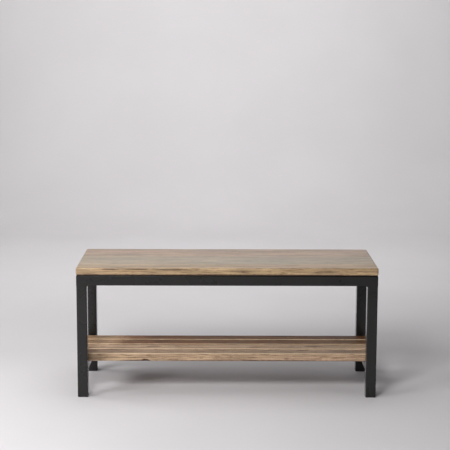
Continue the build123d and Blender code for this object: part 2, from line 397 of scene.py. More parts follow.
# %% [markdown]
# Powder coat is dry plastic powder, baked until it flows. It never quite levels, and the
# shallow dimples that stay, a millimetre or two apart, are called orange peel. Moulded
# plastic has a finer, sharper spark texture. One group of dimples serves both.

# %% Group: dimpled surface
def make_dimple_group():
    """Heights of a dimpled surface: broad shallow dimples and a fine grit on them."""
    group, tree, way_in, way_out = new_group(
        "dimples",
        [("Dimples per Metre", "Float", 600.0), ("Grit Share", "Float", 0.25)],
        [("Height", "Float")],
    )
    place = tree.add("TexCoord").outputs["Object"]
    dimples = tree.noise(place, way_in["Dimples per Metre"], 1.0, 0.4)
    grit = tree.noise(place, tree.math("MULTIPLY", way_in["Dimples per Metre"], 5.0), 2.0, 0.6)
    share = way_in["Grit Share"]
    rest = tree.math("SUBTRACT", 1.0, share)
    height = tree.math("ADD", tree.math("MULTIPLY", dimples, rest), tree.math("MULTIPLY", grit, share))
    tree.put(way_out["Height"], height)
    return group


dimple_group = make_dimple_group()
print("group:", dimple_group.name)
print("shader groups in all:", len(bpy.data.node_groups))

# %% [markdown]
# ## The frame's black coat
# A satin black powder coat over steel tube. Its colour is a very dark warm grey, and most of
# what the eye sees is the soft reflection of the room, so roughness matters more than colour.
# Handling patches shift it a little, and dust greys the faces that look up. Over a tube's rounded
# corners the coat pulls thin and loses gloss. Every corner that looks up is painted black and left
# without coat, as painted shade of the groove under the seat.

# %% Material: satin black powder coat
coat_black = (0.0124, 0.0118, 0.0111)
handled_black = (0.0152, 0.0146, 0.0137)
rubbed_grey = (0.045, 0.043, 0.040)
groove_shade_black = (0.002, 0.002, 0.002)
dust_grey = (0.36, 0.33, 0.30)
coat_sheen = 0.2
full_gloss = 0.8
gloss_lost_at_corners = 0.65


def make_powder_coat(name, dimple_height, roughness):
    """Satin black coating with orange peel, duller corners, painted groove shade on upward corners and a
    little dust.
    """
    material, tree, shader = new_material(name)
    wear = use_group(
        tree, wear_group, Reach=0.0018, Breakup_Scale=70.0, Evenness=0.7, Eased_Edges=1.0
    )["Mask"]
    handling = use_group(tree, handling_group, Patch_Scale=7.0)
    height = use_group(tree, dimple_group, Dimples_per_Metre=620.0, Grit_Share=0.3)["Height"]
    body = tree.blend(handling["Patches"], coat_black, handled_black)
    rubbed = tree.blend(tree.math("MULTIPLY", wear, 0.08), body, rubbed_grey)
    up = tree.add("SeparateXYZ", {0: tree.add("NewGeometry").outputs["Normal"]}).outputs["Z"]
    # Painted shade: corners that look up turn black and lose their coat, standing in for the shadow in
    # the groove under the seat.
    painted_groove_shade = tree.math("MULTIPLY", tree.spread(up, 0.1, 0.3), wear)
    with_groove_shade = tree.blend(painted_groove_shade, rubbed, groove_shade_black)
    dusty = tree.blend(tree.math("MULTIPLY", handling["Dust"], 0.05), with_groove_shade, dust_grey)
    tree.put(shader.inputs["Base Color"], dusty)
    shift = tree.math("MULTIPLY", tree.math("SUBTRACT", handling["Patches"], 0.5), 0.07)
    rough = tree.math("ADD", tree.math("ADD", shift, roughness), tree.math("MULTIPLY", wear, 0.1))
    tree.put(shader.inputs["Roughness"], rough)
    open_coat = tree.math("SUBTRACT", 1.0, painted_groove_shade)
    lost = tree.math("MULTIPLY", wear, gloss_lost_at_corners)
    gloss = tree.math("SUBTRACT", full_gloss, lost)
    shader.inputs["Specular IOR Level"].default_value = coat_sheen
    tree.put(shader.inputs["Coat Weight"], tree.math("MULTIPLY", open_coat, gloss))
    shader.inputs["Coat IOR"].default_value = 1.3
    shader.inputs["Coat Roughness"].default_value = 0.12
    bump = tree.add("Bump", {"Strength": 0.45, "Distance": dimple_height, "Height": height})
    tree.put(shader.inputs["Normal"], bump.outputs["Normal"])
    return material


frame_coat = make_powder_coat("satin_black_powder_coat", dimple_height=0.000015, roughness=0.30)
weld_coat = make_powder_coat("powder_coat_on_welds", dimple_height=0.00005, roughness=0.36)
print("coats:", frame_coat.name, "and", weld_coat.name)

# %% [markdown]
# ## Glides and screws
# The glides are moulded black plastic, matt from the mould, and scuffed grey where they rub
# the floor. The screws and washers are zinc plated: bright steel that has gone slightly milky,
# with fine turning marks.

# %% Materials: moulded plastic and zinc plate
moulded_black = (0.012, 0.012, 0.013)
scuffed_grey = (0.075, 0.074, 0.072)
zinc_grey = (0.60, 0.61, 0.62)
milky_zinc = (0.47, 0.48, 0.51)
bright_zinc = (0.78, 0.78, 0.77)


def make_glide_plastic():
    """Matt black moulded plastic with scuffed undersides."""
    material, tree, shader = new_material("moulded_black_plastic")
    wear = use_group(tree, wear_group, Reach=0.0008, Breakup_Scale=140.0)["Mask"]
    height = use_group(tree, dimple_group, Dimples_per_Metre=2400.0, Grit_Share=0.5)["Height"]
    place = tree.add("TexCoord").outputs["Object"]
    low = tree.spread(tree.add("SeparateXYZ", {0: place}).outputs["Z"], 0.0, 0.0009, 1.0, 0.0)
    drawn_out = tree.vector_math("MULTIPLY", place, (60.0, 900.0, 60.0))
    scratches = tree.spread(tree.noise(drawn_out, 1.0, 3.0), 0.5, 0.62)
    below = tree.math("MULTIPLY", low, scratches)
    scuffs = tree.math("MAXIMUM", below, tree.math("MULTIPLY", wear, 0.5))
    colour = tree.blend(tree.math("MULTIPLY", scuffs, 0.6), moulded_black, scuffed_grey)
    tree.put(shader.inputs["Base Color"], colour)
    tree.put(shader.inputs["Roughness"], tree.math("ADD", 0.48, tree.math("MULTIPLY", scuffs, 0.25)))
    bump = tree.add("Bump", {"Strength": 0.5, "Distance": 0.00004, "Height": height})
    tree.put(shader.inputs["Normal"], bump.outputs["Normal"])
    return material


def make_zinc_plate():
    """Zinc-plated steel: metallic, slightly milky, rubbed bright at the edges."""
    material, tree, shader = new_material("zinc_plated_steel")
    wear = use_group(tree, wear_group, Reach=0.0004, Breakup_Scale=400.0)["Mask"]
    place = tree.add("TexCoord").outputs["Object"]
    milky = tree.spread(tree.noise(place, 420.0, 4.0, 0.6), 0.38, 0.66)
    colour = tree.blend(milky, zinc_grey, milky_zinc)
    bright = tree.blend(tree.math("MULTIPLY", wear, 0.6), colour, bright_zinc)
    tree.put(shader.inputs["Base Color"], bright)
    shader.inputs["Metallic"].default_value = 1.0
    tree.put(shader.inputs["Roughness"], tree.math("ADD", 0.24, tree.math("MULTIPLY", milky, 0.18)))
    turned = tree.noise(tree.vector_math("MULTIPLY", place, (400.0, 400.0, 9000.0)), 1.0, 2.0)
    bump = tree.add("Bump", {"Strength": 0.25, "Distance": 0.00002, "Height": turned})
    tree.put(shader.inputs["Normal"], bump.outputs["Normal"])
    return material


glide_plastic = make_glide_plastic()
zinc_plate = make_zinc_plate()
print("finishes:", glide_plastic.name, "and", zinc_plate.name)

# %% [markdown]
# The measured steel pieces keep their shape. Each gets its finish in the slot it came with.

# %% Give the steel and plastic pieces their finish
def finish_of(node):
    """The finish of a measured piece, by its name."""
    if node.startswith("glide"):
        return glide_plastic
    if node in ("seat_screws", "seat_washers", "shelf_screws"):
        return zinc_plate
    if node.endswith("_welds"):
        return weld_coat
    return frame_coat


for name, piece in nodes.items():
    if not name.startswith(("seat_board", "shelf_slat")):
        piece.material_slots[0].material = finish_of(name)
print("steel and plastic pieces finished")

# %% [markdown]
# ## A wood material for every board
# The boards of a bench come from different planks, so each has its own place in the trunk, its own ring
# width and its own cast: golden, rosy, olive, buff or umber, where the umber of the two rear slats is
# painted shade of the seat above them. All of them use the same groups, and only the values differ. The
# seat has a thin satin lacquer and the shelf a matt oil. Both leave the pores open, so those catch
# shade, and an end drinks more of the finish than a face and turns darker. The lacquer is dark along its
# handled edges, while the oiled edges of the slats are sanded pale and painted lighter still, as a
# painted highlight along the eased edges. Faces that look down are darkened as painted shade.

# %% A material for a board
def make_wood(name, cast, place, heart, ring_width, finish, marks):
    """Brown timber. cast holds its colours, finish its sheen and edges, marks its spots, painted shade
    and painted light. Faces that look down get painted shade too.

    A mark is a centre, a half size, a push on the rings, a share and whether it is a painted pool of
    light rather than a dark spot or painted shade.
    """
    material, tree, shader = new_material(name)
    trunk = use_group(tree, trunk_group, Place=place, Wander=0.007)["Vector"]
    dark_marks_and_painted_shade = []
    painted_light_spots = []
    for centre, half_size, push, share, is_painted_light in marks:
        knot = use_group(tree, knot_group, Vector=trunk, Centre=centre, Half_Size=half_size, Push=push)
        trunk = knot["Vector"]
        spots = painted_light_spots if is_painted_light else dark_marks_and_painted_shade
        spots.append(tree.math("MULTIPLY", knot["Mask"], share))
    rings = use_group(
        tree, ring_group, Vector=trunk, Heart_Y=heart[0], Heart_Z=heart[1], Ring_Width=ring_width
    )["Rings"]
    grain = use_group(tree, fibre_group, Vector=trunk, Pore_Share=0.42)
    wear = use_group(
        tree, wear_group, Reach=0.0012, Breakup_Scale=45.0, Evenness=finish["evenness"], Eased_Edges=1.0
    )["Mask"]
    handling = use_group(tree, handling_group, Patch_Scale=5.0)

    colour = tree.blend(tree.math("MULTIPLY", grain["Stains"], 0.75), cast["ground"], cast["stain"])
    colour = tree.blend(tree.math("MULTIPLY", grain["Blush"], 0.7), colour, cast["blush"])
    # Painted light: these pale spots brighten the left ends of the rear slats.
    for spot in painted_light_spots:
        colour = tree.blend(spot, colour, painted_light_tan)
    colour = tree.blend(tree.math("MULTIPLY", rings, cast["contrast"]), colour, cast["figure"])
    fine_shade = tree.spread(grain["Streaks"], 0.0, 1.0, 0.86, 1.10)
    broad_shade = tree.spread(grain["Bands"], 0.0, 1.0, 1.14, 0.82)
    shade = tree.math("MULTIPLY", fine_shade, broad_shade)
    grey = tree.add("CombineXYZ", {0: shade, 1: shade, 2: shade}).outputs[0]
    colour = tree.blend(1.0, colour, grey, "MULTIPLY")
    colour = tree.blend(tree.math("MULTIPLY", grain["Dashes"], 0.62), colour, cast["figure"])
    colour = tree.blend(tree.math("MULTIPLY", grain["Pores"], 0.72), colour, cast["pore"])
    colour = tree.blend(tree.math("MULTIPLY", wear, finish["edge_share"]), colour, finish["edge"])
    for spot in dark_marks_and_painted_shade:
        colour = tree.blend(spot, colour, cast["pore"])
    facing = tree.add("SeparateXYZ", {0: tree.add("NewGeometry").outputs["Normal"]}).outputs
    end_grain = tree.spread(tree.math("ABSOLUTE", facing["X"]), 0.6, 0.95)
    colour = tree.blend(tree.math("MULTIPLY", end_grain, 0.35), colour, cast["figure"])
    # Painted shade: faces that look down are darkened towards the figure colour.
    painted_underside_shade = tree.spread(facing["Z"], -0.85, -0.25, 0.72, 0.0)
    colour = tree.blend(painted_underside_shade, colour, cast["figure"])
    tree.put(shader.inputs["Base Color"], colour)

    rough = tree.math("ADD", finish["roughness"], tree.math("MULTIPLY", grain["Streaks"], -0.07))
    rough = tree.math("ADD", rough, tree.math("MULTIPLY", grain["Pores"], 0.25))
    rough = tree.math("ADD", rough, tree.math("MULTIPLY", handling["Patches"], -0.05))
    rough = tree.math("ADD", rough, tree.math("MULTIPLY", end_grain, 0.14))
    tree.put(shader.inputs["Roughness"], rough)
    shader.inputs["Specular IOR Level"].default_value = finish["sheen"]
    shader.inputs["Coat Weight"].default_value = finish["lacquer"]
    shader.inputs["Coat Roughness"].default_value = 0.36

    relief = tree.math("MULTIPLY", grain["Streaks"], 0.20)
    relief = tree.math("ADD", relief, tree.math("MULTIPLY", rings, 0.16))
    relief = tree.math("SUBTRACT", relief, tree.math("MULTIPLY", grain["Pores"], 0.8))
    for spot in dark_marks_and_painted_shade:
        relief = tree.math("SUBTRACT", relief, tree.math("MULTIPLY", spot, 0.9))
    bump = tree.add("Bump", {"Strength": 0.6, "Distance": 0.00025, "Height": relief})
    tree.put(shader.inputs["Normal"], bump.outputs["Normal"])
    return material


print("wood material ready")

# %% [markdown]
# The two finishes and the casts are only numbers. A cast gives the ground colour, the mineral
# stain and the rosy blush that cross it, the dark figure of the rings, and how strong the
# rings are.

# %% The finishes and casts
pore_brown = srgb(70, 46, 32)


def cast_of(ground, stain, blush, figure, contrast):
    """Names the colours of a board, each given as a paint card would give it."""
    return {
        "ground": srgb(*ground),
        "stain": srgb(*stain),
        "blush": srgb(*blush),
        "figure": srgb(*figure),
        "pore": pore_brown,
        "contrast": contrast,
    }


# Painted light: the pale tan laid towards the left ends of the rear slats, where light comes in from the
# left.
painted_light_tan = srgb(204, 168, 132)
satin_lacquer = {
    "roughness": 0.46,
    "sheen": 0.5,
    "lacquer": 0.40,
    "edge": srgb(104, 78, 54),
    "edge_share": 0.55,
    "evenness": 0.35,
}
matt_oil = {
    "roughness": 0.58,
    "sheen": 0.16,
    "lacquer": 0.0,
    # Sanded pale edges, made lighter still as a painted highlight along the eased edges.
    "edge": srgb(232, 208, 178),
    "edge_share": 0.9,
    "evenness": 0.8,
}

golden = cast_of((192, 164, 122), (164, 138, 104), (184, 156, 124), (100, 72, 44), 0.75)
rosy = cast_of((188, 160, 132), (160, 138, 116), (192, 156, 132), (112, 84, 64), 0.7)
olive = cast_of((184, 168, 140), (152, 144, 122), (182, 160, 134), (106, 90, 68), 0.7)
# Painted shade: the two rear slats take this darker cast because the seat above shades them.
seat_shaded_umber = cast_of((134, 98, 64), (104, 76, 48), (142, 95, 60), (60, 38, 24), 0.8)
buff = cast_of((194, 166, 136), (162, 138, 112), (192, 160, 136), (100, 74, 54), 0.8)
pale_buff = cast_of((212, 182, 150), (180, 154, 124), (210, 176, 148), (108, 80, 58), 0.8)
print("board casts ready")

# %% [markdown]
# ## Boards with hand-eased edges
# A plain box has edges that no sander ever made. Each board here is a closed outline that is
# carried along the length, station by station. The outline's corners are rounded by an amount
# that drifts a little, as it does under a hand-held sander, and the outline shrinks through a
# quarter circle at each end. A side that is almost sharp, because it is glued to the next
# board, hardly shrinks there, so a panel's end stays closed. The flats get a waviness of a
# tenth of a millimetre, which breaks up reflections. It comes from a noise in space, so
# boards that are glued side by side still meet flush.

# %% The outline of a board
corner_steps = 5
flat_step = 0.0095


def outline(width, thickness, radii, flat_counts):
    """Points round a board's section, and the directions they face.

    radii are those of the four corners: bottom front, bottom back, top back and top front.
    flat_counts says how many spans a flat has, across the board and up its side.
    """
    half_width = width / 2
    half_thickness = thickness / 2
    signs = ((-1, -1), (1, -1), (1, 1), (-1, 1))
    points = []
    for corner, ((side, level), radius) in enumerate(zip(signs, radii)):
        centre = Vector((side * (half_width - radius), level * (half_thickness - radius)))
        start = math.pi + corner * math.pi / 2
        for step in range(corner_steps + 1):
            angle = start + step / corner_steps * math.pi / 2
            facing = Vector((math.cos(angle), math.sin(angle)))
            points.append((centre + facing * radius, facing))
        next_side, next_level = signs[(corner + 1) % 4]
        next_radius = radii[(corner + 1) % 4]
        begin, facing = points[-1]
        goal_across = next_side * (half_width - next_radius)
        goal_up = next_level * (half_thickness - next_radius)
        goal = Vector((goal_across, goal_up)) + facing * next_radius
        spans = flat_counts[corner % 2]
        for step in range(1, spans):
            points.append((begin.lerp(goal, step / spans), facing))
    return points


print("each corner of a board is rounded in", corner_steps, "steps")

# %% [markdown]
# The stations stand closer together at the ends, where the outline shrinks, and wherever a
# chip or a knot needs a finer net. A hollow is a smooth dip, so it is just a number that is
# taken off along the direction that a point faces.

# %% Carry the outline along the board
end_steps = 5
station_step = 0.014
fine_step = 0.0022
fine_margin = 1.3
wave_height = 0.00011
wave_scale = (11.0, 16.0, 16.0)
sander_drift = 0.22
smallest_radius = 0.0001


def stations_of(low_x, high_x, end_radius, hollows):
    """Places along the board, each with how far the outline shrinks there."""
    places = []
    for step in range(end_steps):
        angle = step / end_steps * math.pi / 2
        places.append((end_radius * (1 - math.sin(angle)), end_radius * (1 - math.cos(angle))))
    ends = [(low_x + depth, shrink) for shrink, depth in places]
    ends += [(high_x - depth, shrink) for shrink, depth in places]
    middle = []
    x = low_x + end_radius
    while x < high_x - end_radius:
        middle.append((x, 0.0))
        close = any(abs(x - centre.x) < size.x * fine_margin for centre, size, depth in hollows)
        x += fine_step if close else station_step
    middle.append((high_x - end_radius, 0.0))
    return sorted(ends + middle)


def hollow_depth(point, hollows):
    """How far a point sinks below the flat, from the hollows that it lies in."""
    depth = 0.0
    for centre, size, deepest in hollows:
        offset = point - centre
        reach = Vector((offset.x / size.x, offset.y / size.y, offset.z / size.z)).length
        if reach < 1:
            depth = max(depth, deepest * (1 - reach * reach) ** 2)
    return depth


print("stations stand", station_step * 1000, "mm apart, and", fine_step * 1000, "mm at a hollow")

# %% [markdown]
# A board is then a skin over its rings of points, closed by a flat face at each end. It rides with the
# bench's one body and stands for the measured board, which stays in the simulation. It rides with the
# bench's one body and stands for the measured board, which is hidden but stays in the scene.

# %% A whole board
def make_board(name, node, radii, end_radius, material, hollows):
    """A board in the place of a measured one, with eased edges and slightly uneven faces."""
    low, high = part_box(node)
    centre_y = (low.y + high.y) / 2
    centre_z = (low.z + high.z) / 2
    width = high.y - low.y
    thickness = high.z - low.z
    mesh = bpy.data.meshes.new(name)
    shape = bmesh.new()
    rings = []
    flat_counts = (round(width / flat_step), round(thickness / flat_step))
    front_share = min(1.0, radii[0] / end_radius)
    back_share = min(1.0, radii[1] / end_radius)
    for x, shrink in stations_of(low.x, high.x, end_radius, hollows):
        ring = []
        eased = []
        for corner, radius in enumerate(radii):
            drift = noise.noise((x * 14.0, centre_y * 40.0 + corner * 7.3, centre_z * 9.0))
            drifted = radius * (1 + sander_drift * drift)
            eased.append(max(drifted - shrink * 0.5, smallest_radius))
        front_in = shrink * front_share
        back_in = shrink * back_share
        middle_y = centre_y + (front_in - back_in) / 2
        station_width = width - front_in - back_in
        for point, facing in outline(station_width, thickness - 2 * shrink, eased, flat_counts):
            place = Vector((x, middle_y + point.x, centre_z + point.y))
            wave = noise.noise([part * scale for part, scale in zip(place, wave_scale)])
            sink = wave_height * (0.5 + 0.5 * wave) + hollow_depth(place, hollows)
            ring.append(shape.verts.new(place - Vector((0.0, facing.x, facing.y)) * sink))
        rings.append(ring)
    count = len(rings[0])
    for first, second in zip(rings, rings[1:]):
        for i in range(count):
            j = (i + 1) % count
            shape.faces.new((first[i], first[j], second[j], second[i]))
    shape.faces.new(list(reversed(rings[0])))
    shape.faces.new(rings[-1])
    bmesh.ops.recalc_face_normals(shape, faces=shape.faces)
    for face in shape.faces:
        face.smooth = len(face.verts) == 4
    shape.to_mesh(mesh)
    shape.free()
    mesh.materials.append(material)
    board = bpy.data.objects.new(name, mesh)
    bpy.context.scene.collection.objects.link(board)
    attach(board, "root")
    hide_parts(node)
    return board


# %% [markdown]
# ## The seat
# Five boards, glued edge to edge. The outer edges of the panel are rounded, and the edges along the glue
# lines are left almost sharp, so that a joint shows as a hair line and a change of colour. The tones run
# golden, olive and rosy from the front to the back. The front edge has dark streaks of its own, and the
# last mark is painted shade along its whole lower edge, where the seat meets the rail in a groove.

# %% The seat boards' places in the tree, and their marks
seat_casts = (golden, olive, olive, rosy, rosy)
seat_shifts = (
    (0.31, 0.012, 0.004),
    (1.73, -0.027, 0.011),
    (2.96, 0.018, -0.006),
    (4.12, -0.009, 0.017),
    (5.58, 0.022, 0.002),
)
seat_hearts = ((0.02, -0.11), (-0.09, -0.05), (0.06, 0.13), (0.01, -0.08), (0.10, 0.04))
first_ring_width = 0.0052
ring_width_step = 0.0006
seat_board_count = len(seat_casts)
front_board_low, front_board_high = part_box("seat_board_1")
seat_thickness = front_board_high.z - front_board_low.z
streak_push = 0.003
past_both_ends = 0.9
lower_edge_shade_depth = 0.03


def on_seat_front(x, below_top, half_length, half_height, darkness, depth=0.006):
    """A dark streak on the seat's front edge."""
    centre = Vector((x, front_board_low.y, front_board_high.z - below_top))
    return centre, (half_length, depth, half_height), streak_push, darkness, False


seat_front_marks = (
    on_seat_front(-0.425, 0.0050, 0.038, 0.0034, 0.75),
    on_seat_front(-0.325, 0.0050, 0.052, 0.0030, 0.75),
    on_seat_front(-0.200, 0.0060, 0.078, 0.0042, 0.70),
    on_seat_front(0.045, 0.0120, 0.052, 0.0050, 0.45),
    on_seat_front(0.365, 0.0130, 0.055, 0.0060, 0.45),
    # Painted shade of the groove between the seat and the rail, along the whole lower edge.
    on_seat_front(0.0, seat_thickness - 0.0002, past_both_ends, 0.0066, 0.97, lower_edge_shade_depth),
)

print("marks on the seat's front edge:", len(seat_front_marks))

# %% [markdown]
# Each board gets a material of its own from the values above. The eased radius is five
# millimetres at the outside of the panel and a quarter of a millimetre along a glue line.

# %% Make the seat boards
outer_ease = 0.0048
glue_line_ease = 0.00028

for number in range(1, seat_board_count + 1):
    low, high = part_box(f"seat_board_{number}")
    shift = seat_shifts[number - 1]
    heart_y, heart_z = seat_hearts[number - 1]
    heart = (shift[1] + (low.y + high.y) / 2 + heart_y, high.z + heart_z)
    marks = seat_front_marks if number == 1 else ()
    ring_width = first_ring_width + ring_width_step * number
    cast = seat_casts[number - 1]
    wood = make_wood(f"seat_timber_{number}", cast, shift, heart, ring_width, satin_lacquer, marks)
    front = outer_ease if number == 1 else glue_line_ease
    back = outer_ease if number == seat_board_count else glue_line_ease
    radii = (front, back, back, front)
    node = f"seat_board_{number}"
    board = make_board(f"seat_plank_{number}", node, radii, outer_ease, wood, hollows=())
print("seat boards:", seat_board_count, "with", len(board.data.polygons), "faces each")

# %% [markdown]
# ## The shelf
# Four slats with gaps between them, two pale ones in front and two browner ones behind, whose darker
# brown is painted shade of the seat above them. The front one is seen most. It has two small knots on
# its front face, painted shade along its lower edge, and a bark pocket that broke out there, which is a
# real hollow in the mesh as well as a dark mark. The tops have dark streaks, and the brown slats turn
# pale towards their left ends, which is a painted pool of light coming in from the left.

# %% The slats' places in the tree, and their marks
slat_casts = (buff, pale_buff, seat_shaded_umber, seat_shaded_umber)
slat_shifts = (
    (7.04, -0.014, 0.006),
    (8.41, 0.021, -0.012),
    (9.87, 0.004, 0.015),
    (11.3, -0.018, -0.004),
)
slat_hearts = ((0.05, -0.09), (-0.03, -0.07), (0.08, 0.06), (-0.06, -0.10))
front_low, front_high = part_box("shelf_slat_1")
second_low, second_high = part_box("shelf_slat_2")
pocket = Vector((-0.303, front_low.y, front_low.z + 0.0010))
pocket_size = Vector((0.019, 0.0065, 0.0036))
pocket_depth = 0.0008
pocket_mark_rise = Vector((0.0, 0.0, 0.0018))
pocket_mark_size = (0.022, 0.020, 0.0066)
slat_ring_width = 0.0058
wider_than_the_slat = 0.25


def on_front(x, above_bottom, half_length, half_height, push, darkness):
    """A mark on the front face of the front slat."""
    centre = Vector((x, front_low.y, front_low.z + above_bottom))
    return centre, (half_length, 0.009, half_height), push, darkness, False


def on_top(low, high, x, from_front, half_length, half_width, darkness):
    """A dark streak on the top of a slat."""
    centre = Vector((x, low.y + from_front, high.z))
    return centre, (half_length, half_width, 0.005), streak_push, darkness, False


def painted_light_end(low, high, reach, share):
    """A painted pool of light that takes over towards the left end of a slat."""
    centre = Vector((low.x, (low.y + high.y) / 2, high.z))
    return centre, (reach, wider_than_the_slat, wider_than_the_slat), 0.0, share, True


front_marks = (
    (pocket + pocket_mark_rise, pocket_mark_size, streak_push, 0.99, False),
    # Painted shade along the front slat's lower edge, in two long bands.
    on_front(-0.350, 0.0004, 0.070, 0.0044, 0.001, 0.85),
    on_front(0.115, 0.0002, 0.430, 0.0048, 0.001, 0.85),
    on_front(-0.0955, 0.0140, 0.009, 0.0055, 0.007, 0.30),
    on_front(0.222, 0.0100, 0.011, 0.0045, 0.007, 0.45),
    on_top(front_low, front_high, -0.460, 0.058, 0.060, 0.013, 0.70),
    on_top(front_low, front_high, 0.285, 0.050, 0.032, 0.012, 0.55),
    on_top(front_low, front_high, -0.525, 0.030, 0.060, 0.034, 0.50),
)
second_marks = (
    on_top(second_low, second_high, -0.276, 0.030, 0.036, 0.010, 0.65),
    on_top(second_low, second_high, 0.326, 0.036, 0.040, 0.009, 0.65),
)
third_low, third_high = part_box("shelf_slat_3")
fourth_low, fourth_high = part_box("shelf_slat_4")
third_marks = (
    painted_light_end(third_low, third_high, 0.17, 0.85),
    on_top(third_low, third_high, -0.255, 0.040, 0.045, 0.014, 0.55),
    on_top(third_low, third_high, 0.455, 0.040, 0.055, 0.016, 0.25),
)
fourth_marks = (
    painted_light_end(fourth_low, fourth_high, 0.19, 0.85),
    on_top(fourth_low, fourth_high, 0.215, 0.045, 0.070, 0.016, 0.60),
    on_top(fourth_low, fourth_high, -0.050, 0.050, 0.090, 0.012, 0.45),
    on_top(fourth_low, fourth_high, 0.420, 0.032, 0.190, 0.036, 0.45),
)
slat_marks = (front_marks, second_marks, third_marks, fourth_marks)
print("marks on the slats:", [len(marks) for marks in slat_marks])

# %% [markdown]
# The slats lie apart, so all four long edges of each are eased alike. Only the front slat has
# a hollow.

# %% Make the shelf slats
slat_ease = 0.0028
slat_count = len(slat_casts)

for number in range(1, slat_count + 1):
    low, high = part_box(f"shelf_slat_{number}")
    shift = slat_shifts[number - 1]
    heart_y, heart_z = slat_hearts[number - 1]
    heart = (shift[1] + (low.y + high.y) / 2 + heart_y, high.z + heart_z)
    marks = slat_marks[number - 1]
    cast = slat_casts[number - 1]
    wood = make_wood(f"shelf_timber_{number}", cast, shift, heart, slat_ring_width, matt_oil, marks)
    hollows = ((pocket, pocket_size, pocket_depth),) if number == 1 else ()
    radii = (slat_ease,) * 4
    node = f"shelf_slat_{number}"
    slat = make_board(f"shelf_plank_{number}", node, radii, slat_ease, wood, hollows)
print("shelf slats:", slat_count)

# %% [markdown]
# ## Welds
# A welder lays a fillet as a row of overlapping drops, and each drop freezes as a crescent.
# So the bead is a ridge that swells and pinches along its length, with its ripples bowed
# forward. It is built as a strip of stations between the two faces that it joins, and it ends
# in rounded tips, which stop just short of a point so that each has a real end face.

# %% A rippled weld bead
drop_pitch = 0.0024
stations_per_drop = 6
bead_facets = 8
tip_floor = 0.0016
tip_bluntness = 16
ripple_height = 0.10
ripple_bow = 0.8
throat = 0.76


def add_bead(shape, start, along, length, first_face, second_face, size):
    """Adds a bead from start. first_face and second_face point along the two joined faces."""
    drops = round(length / drop_pitch)
    count = drops * stations_per_drop
    rings = []
    for station in range(count + 1):
        share = station / count
        tip = math.sqrt(max(tip_floor, 1 - (2 * share - 1) ** tip_bluntness))
        ring = []
        for facet in range(bead_facets + 1):
            turn = facet / bead_facets
            bow = math.sin(turn * math.pi)
            phase = (station / stations_per_drop - ripple_bow * bow) % 1.0
            swell = 1 + ripple_height * math.sqrt(1 - phase) * bow
            angle = turn * math.pi / 2
            reach = size * tip * swell * (throat + (1 - throat) * abs(math.cos(2 * angle)))
            side = first_face * math.cos(angle) * reach + second_face * math.sin(angle) * reach
            ring.append(shape.verts.new(start + along * (share * length) + side))
        ring.append(shape.verts.new(start + along * (share * length)))
        rings.append(ring)
    sides = bead_facets + 2
    for first, second in zip(rings, rings[1:]):
        for i in range(sides):
            j = (i + 1) % sides
            shape.faces.new((first[i], first[j], second[j], second[i]))
    shape.faces.new(rings[0])
    shape.faces.new(list(reversed(rings[-1])))


def finish_beads(shape, name, node):
    """Turns a shape that holds beads into one piece in the place of a measured node."""
    bmesh.ops.recalc_face_normals(shape, faces=shape.faces)
    for face in shape.faces:
        face.smooth = True
    mesh = bpy.data.meshes.new(name)
    shape.to_mesh(mesh)
    shape.free()
    mesh.materials.append(weld_coat)
    piece = bpy.data.objects.new(name, mesh)
    bpy.context.scene.collection.objects.link(piece)
    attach(piece, "root")
    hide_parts(node)
    return piece


print("a weld drop is", drop_pitch * 1000, "mm long")

# %% [markdown]
# The places of the beads follow from the tubes: a leg's inner faces, the underside of the top
# rails, and the top and underside of the stretchers. The same beads are laid at all four
# corners, with the signs of x and y changed.

# %% Lay the beads
leg_low, leg_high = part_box("leg_front_left")
rail_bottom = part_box("rail_front")[0].z
stretcher_low, stretcher_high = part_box("stretcher_left")
tab_low, tab_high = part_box("fixing_tab_front_left")
tube_width = leg_high.x - leg_low.x
inner_x = -leg_high.x
inner_y = -leg_high.y
tube_corner = 0.004
flat_length = tube_width - 2 * tube_corner
outer_x = -leg_low.x - tube_corner
outer_y = -leg_low.y - tube_corner
up = Vector((0.0, 0.0, 1.0))
bead_size = 0.0042

fillets = bmesh.new()
for side_x in (-1, 1):
    for side_y in (-1, 1):
        to_middle_x = Vector((-side_x, 0.0, 0.0))
        to_middle_y = Vector((0.0, -side_y, 0.0))
        at_rail = Vector((side_x * inner_x, side_y * outer_y, rail_bottom))
        add_bead(fillets, at_rail, to_middle_y, flat_length, to_middle_x, -up, bead_size)
        for height, away in ((rail_bottom, -up), (stretcher_high.z, up), (stretcher_low.z, -up)):
            at_side = Vector((side_x * outer_x, side_y * inner_y, height))
            add_bead(fillets, at_side, to_middle_x, flat_length, to_middle_y, away, bead_size)
fillet_piece = finish_beads(fillets, "frame_weld_beads", "fillet_welds")

tab_beads = bmesh.new()
tab_bead_size = 0.0031
tab_margin = 0.003
tab_bead_length = tab_high.x - tab_low.x - 2 * tab_margin
along_tab = Vector((1.0, 0.0, 0.0))
for place in ("left", "middle", "right"):
    for row, side_y in (("front", -1), ("back", 1)):
        low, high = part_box(f"fixing_tab_{row}_{place}")
        start = Vector((low.x + tab_margin, side_y * inner_y, low.z))
        to_middle_y = Vector((0.0, -side_y, 0.0))
        add_bead(tab_beads, start, along_tab, tab_bead_length, to_middle_y, -up, tab_bead_size)
tab_bead_piece = finish_beads(tab_beads, "tab_weld_beads", "tab_welds")
print("weld beads:", len(fillet_piece.data.polygons) + len(tab_bead_piece.data.polygons), "faces")

# %% [markdown]
# ## Floor and backdrop
# A studio sweep: a pale floor that curves up into a wall, so no line shows between them. It is
# matt paper with a trace of unevenness.

# %% Make the sweep
sweep_half_width = 9.0
sweep_front = -9.0
curve_start = 3.2
curve_radius = 1.8
wall_top = 6.0
curve_steps = 24

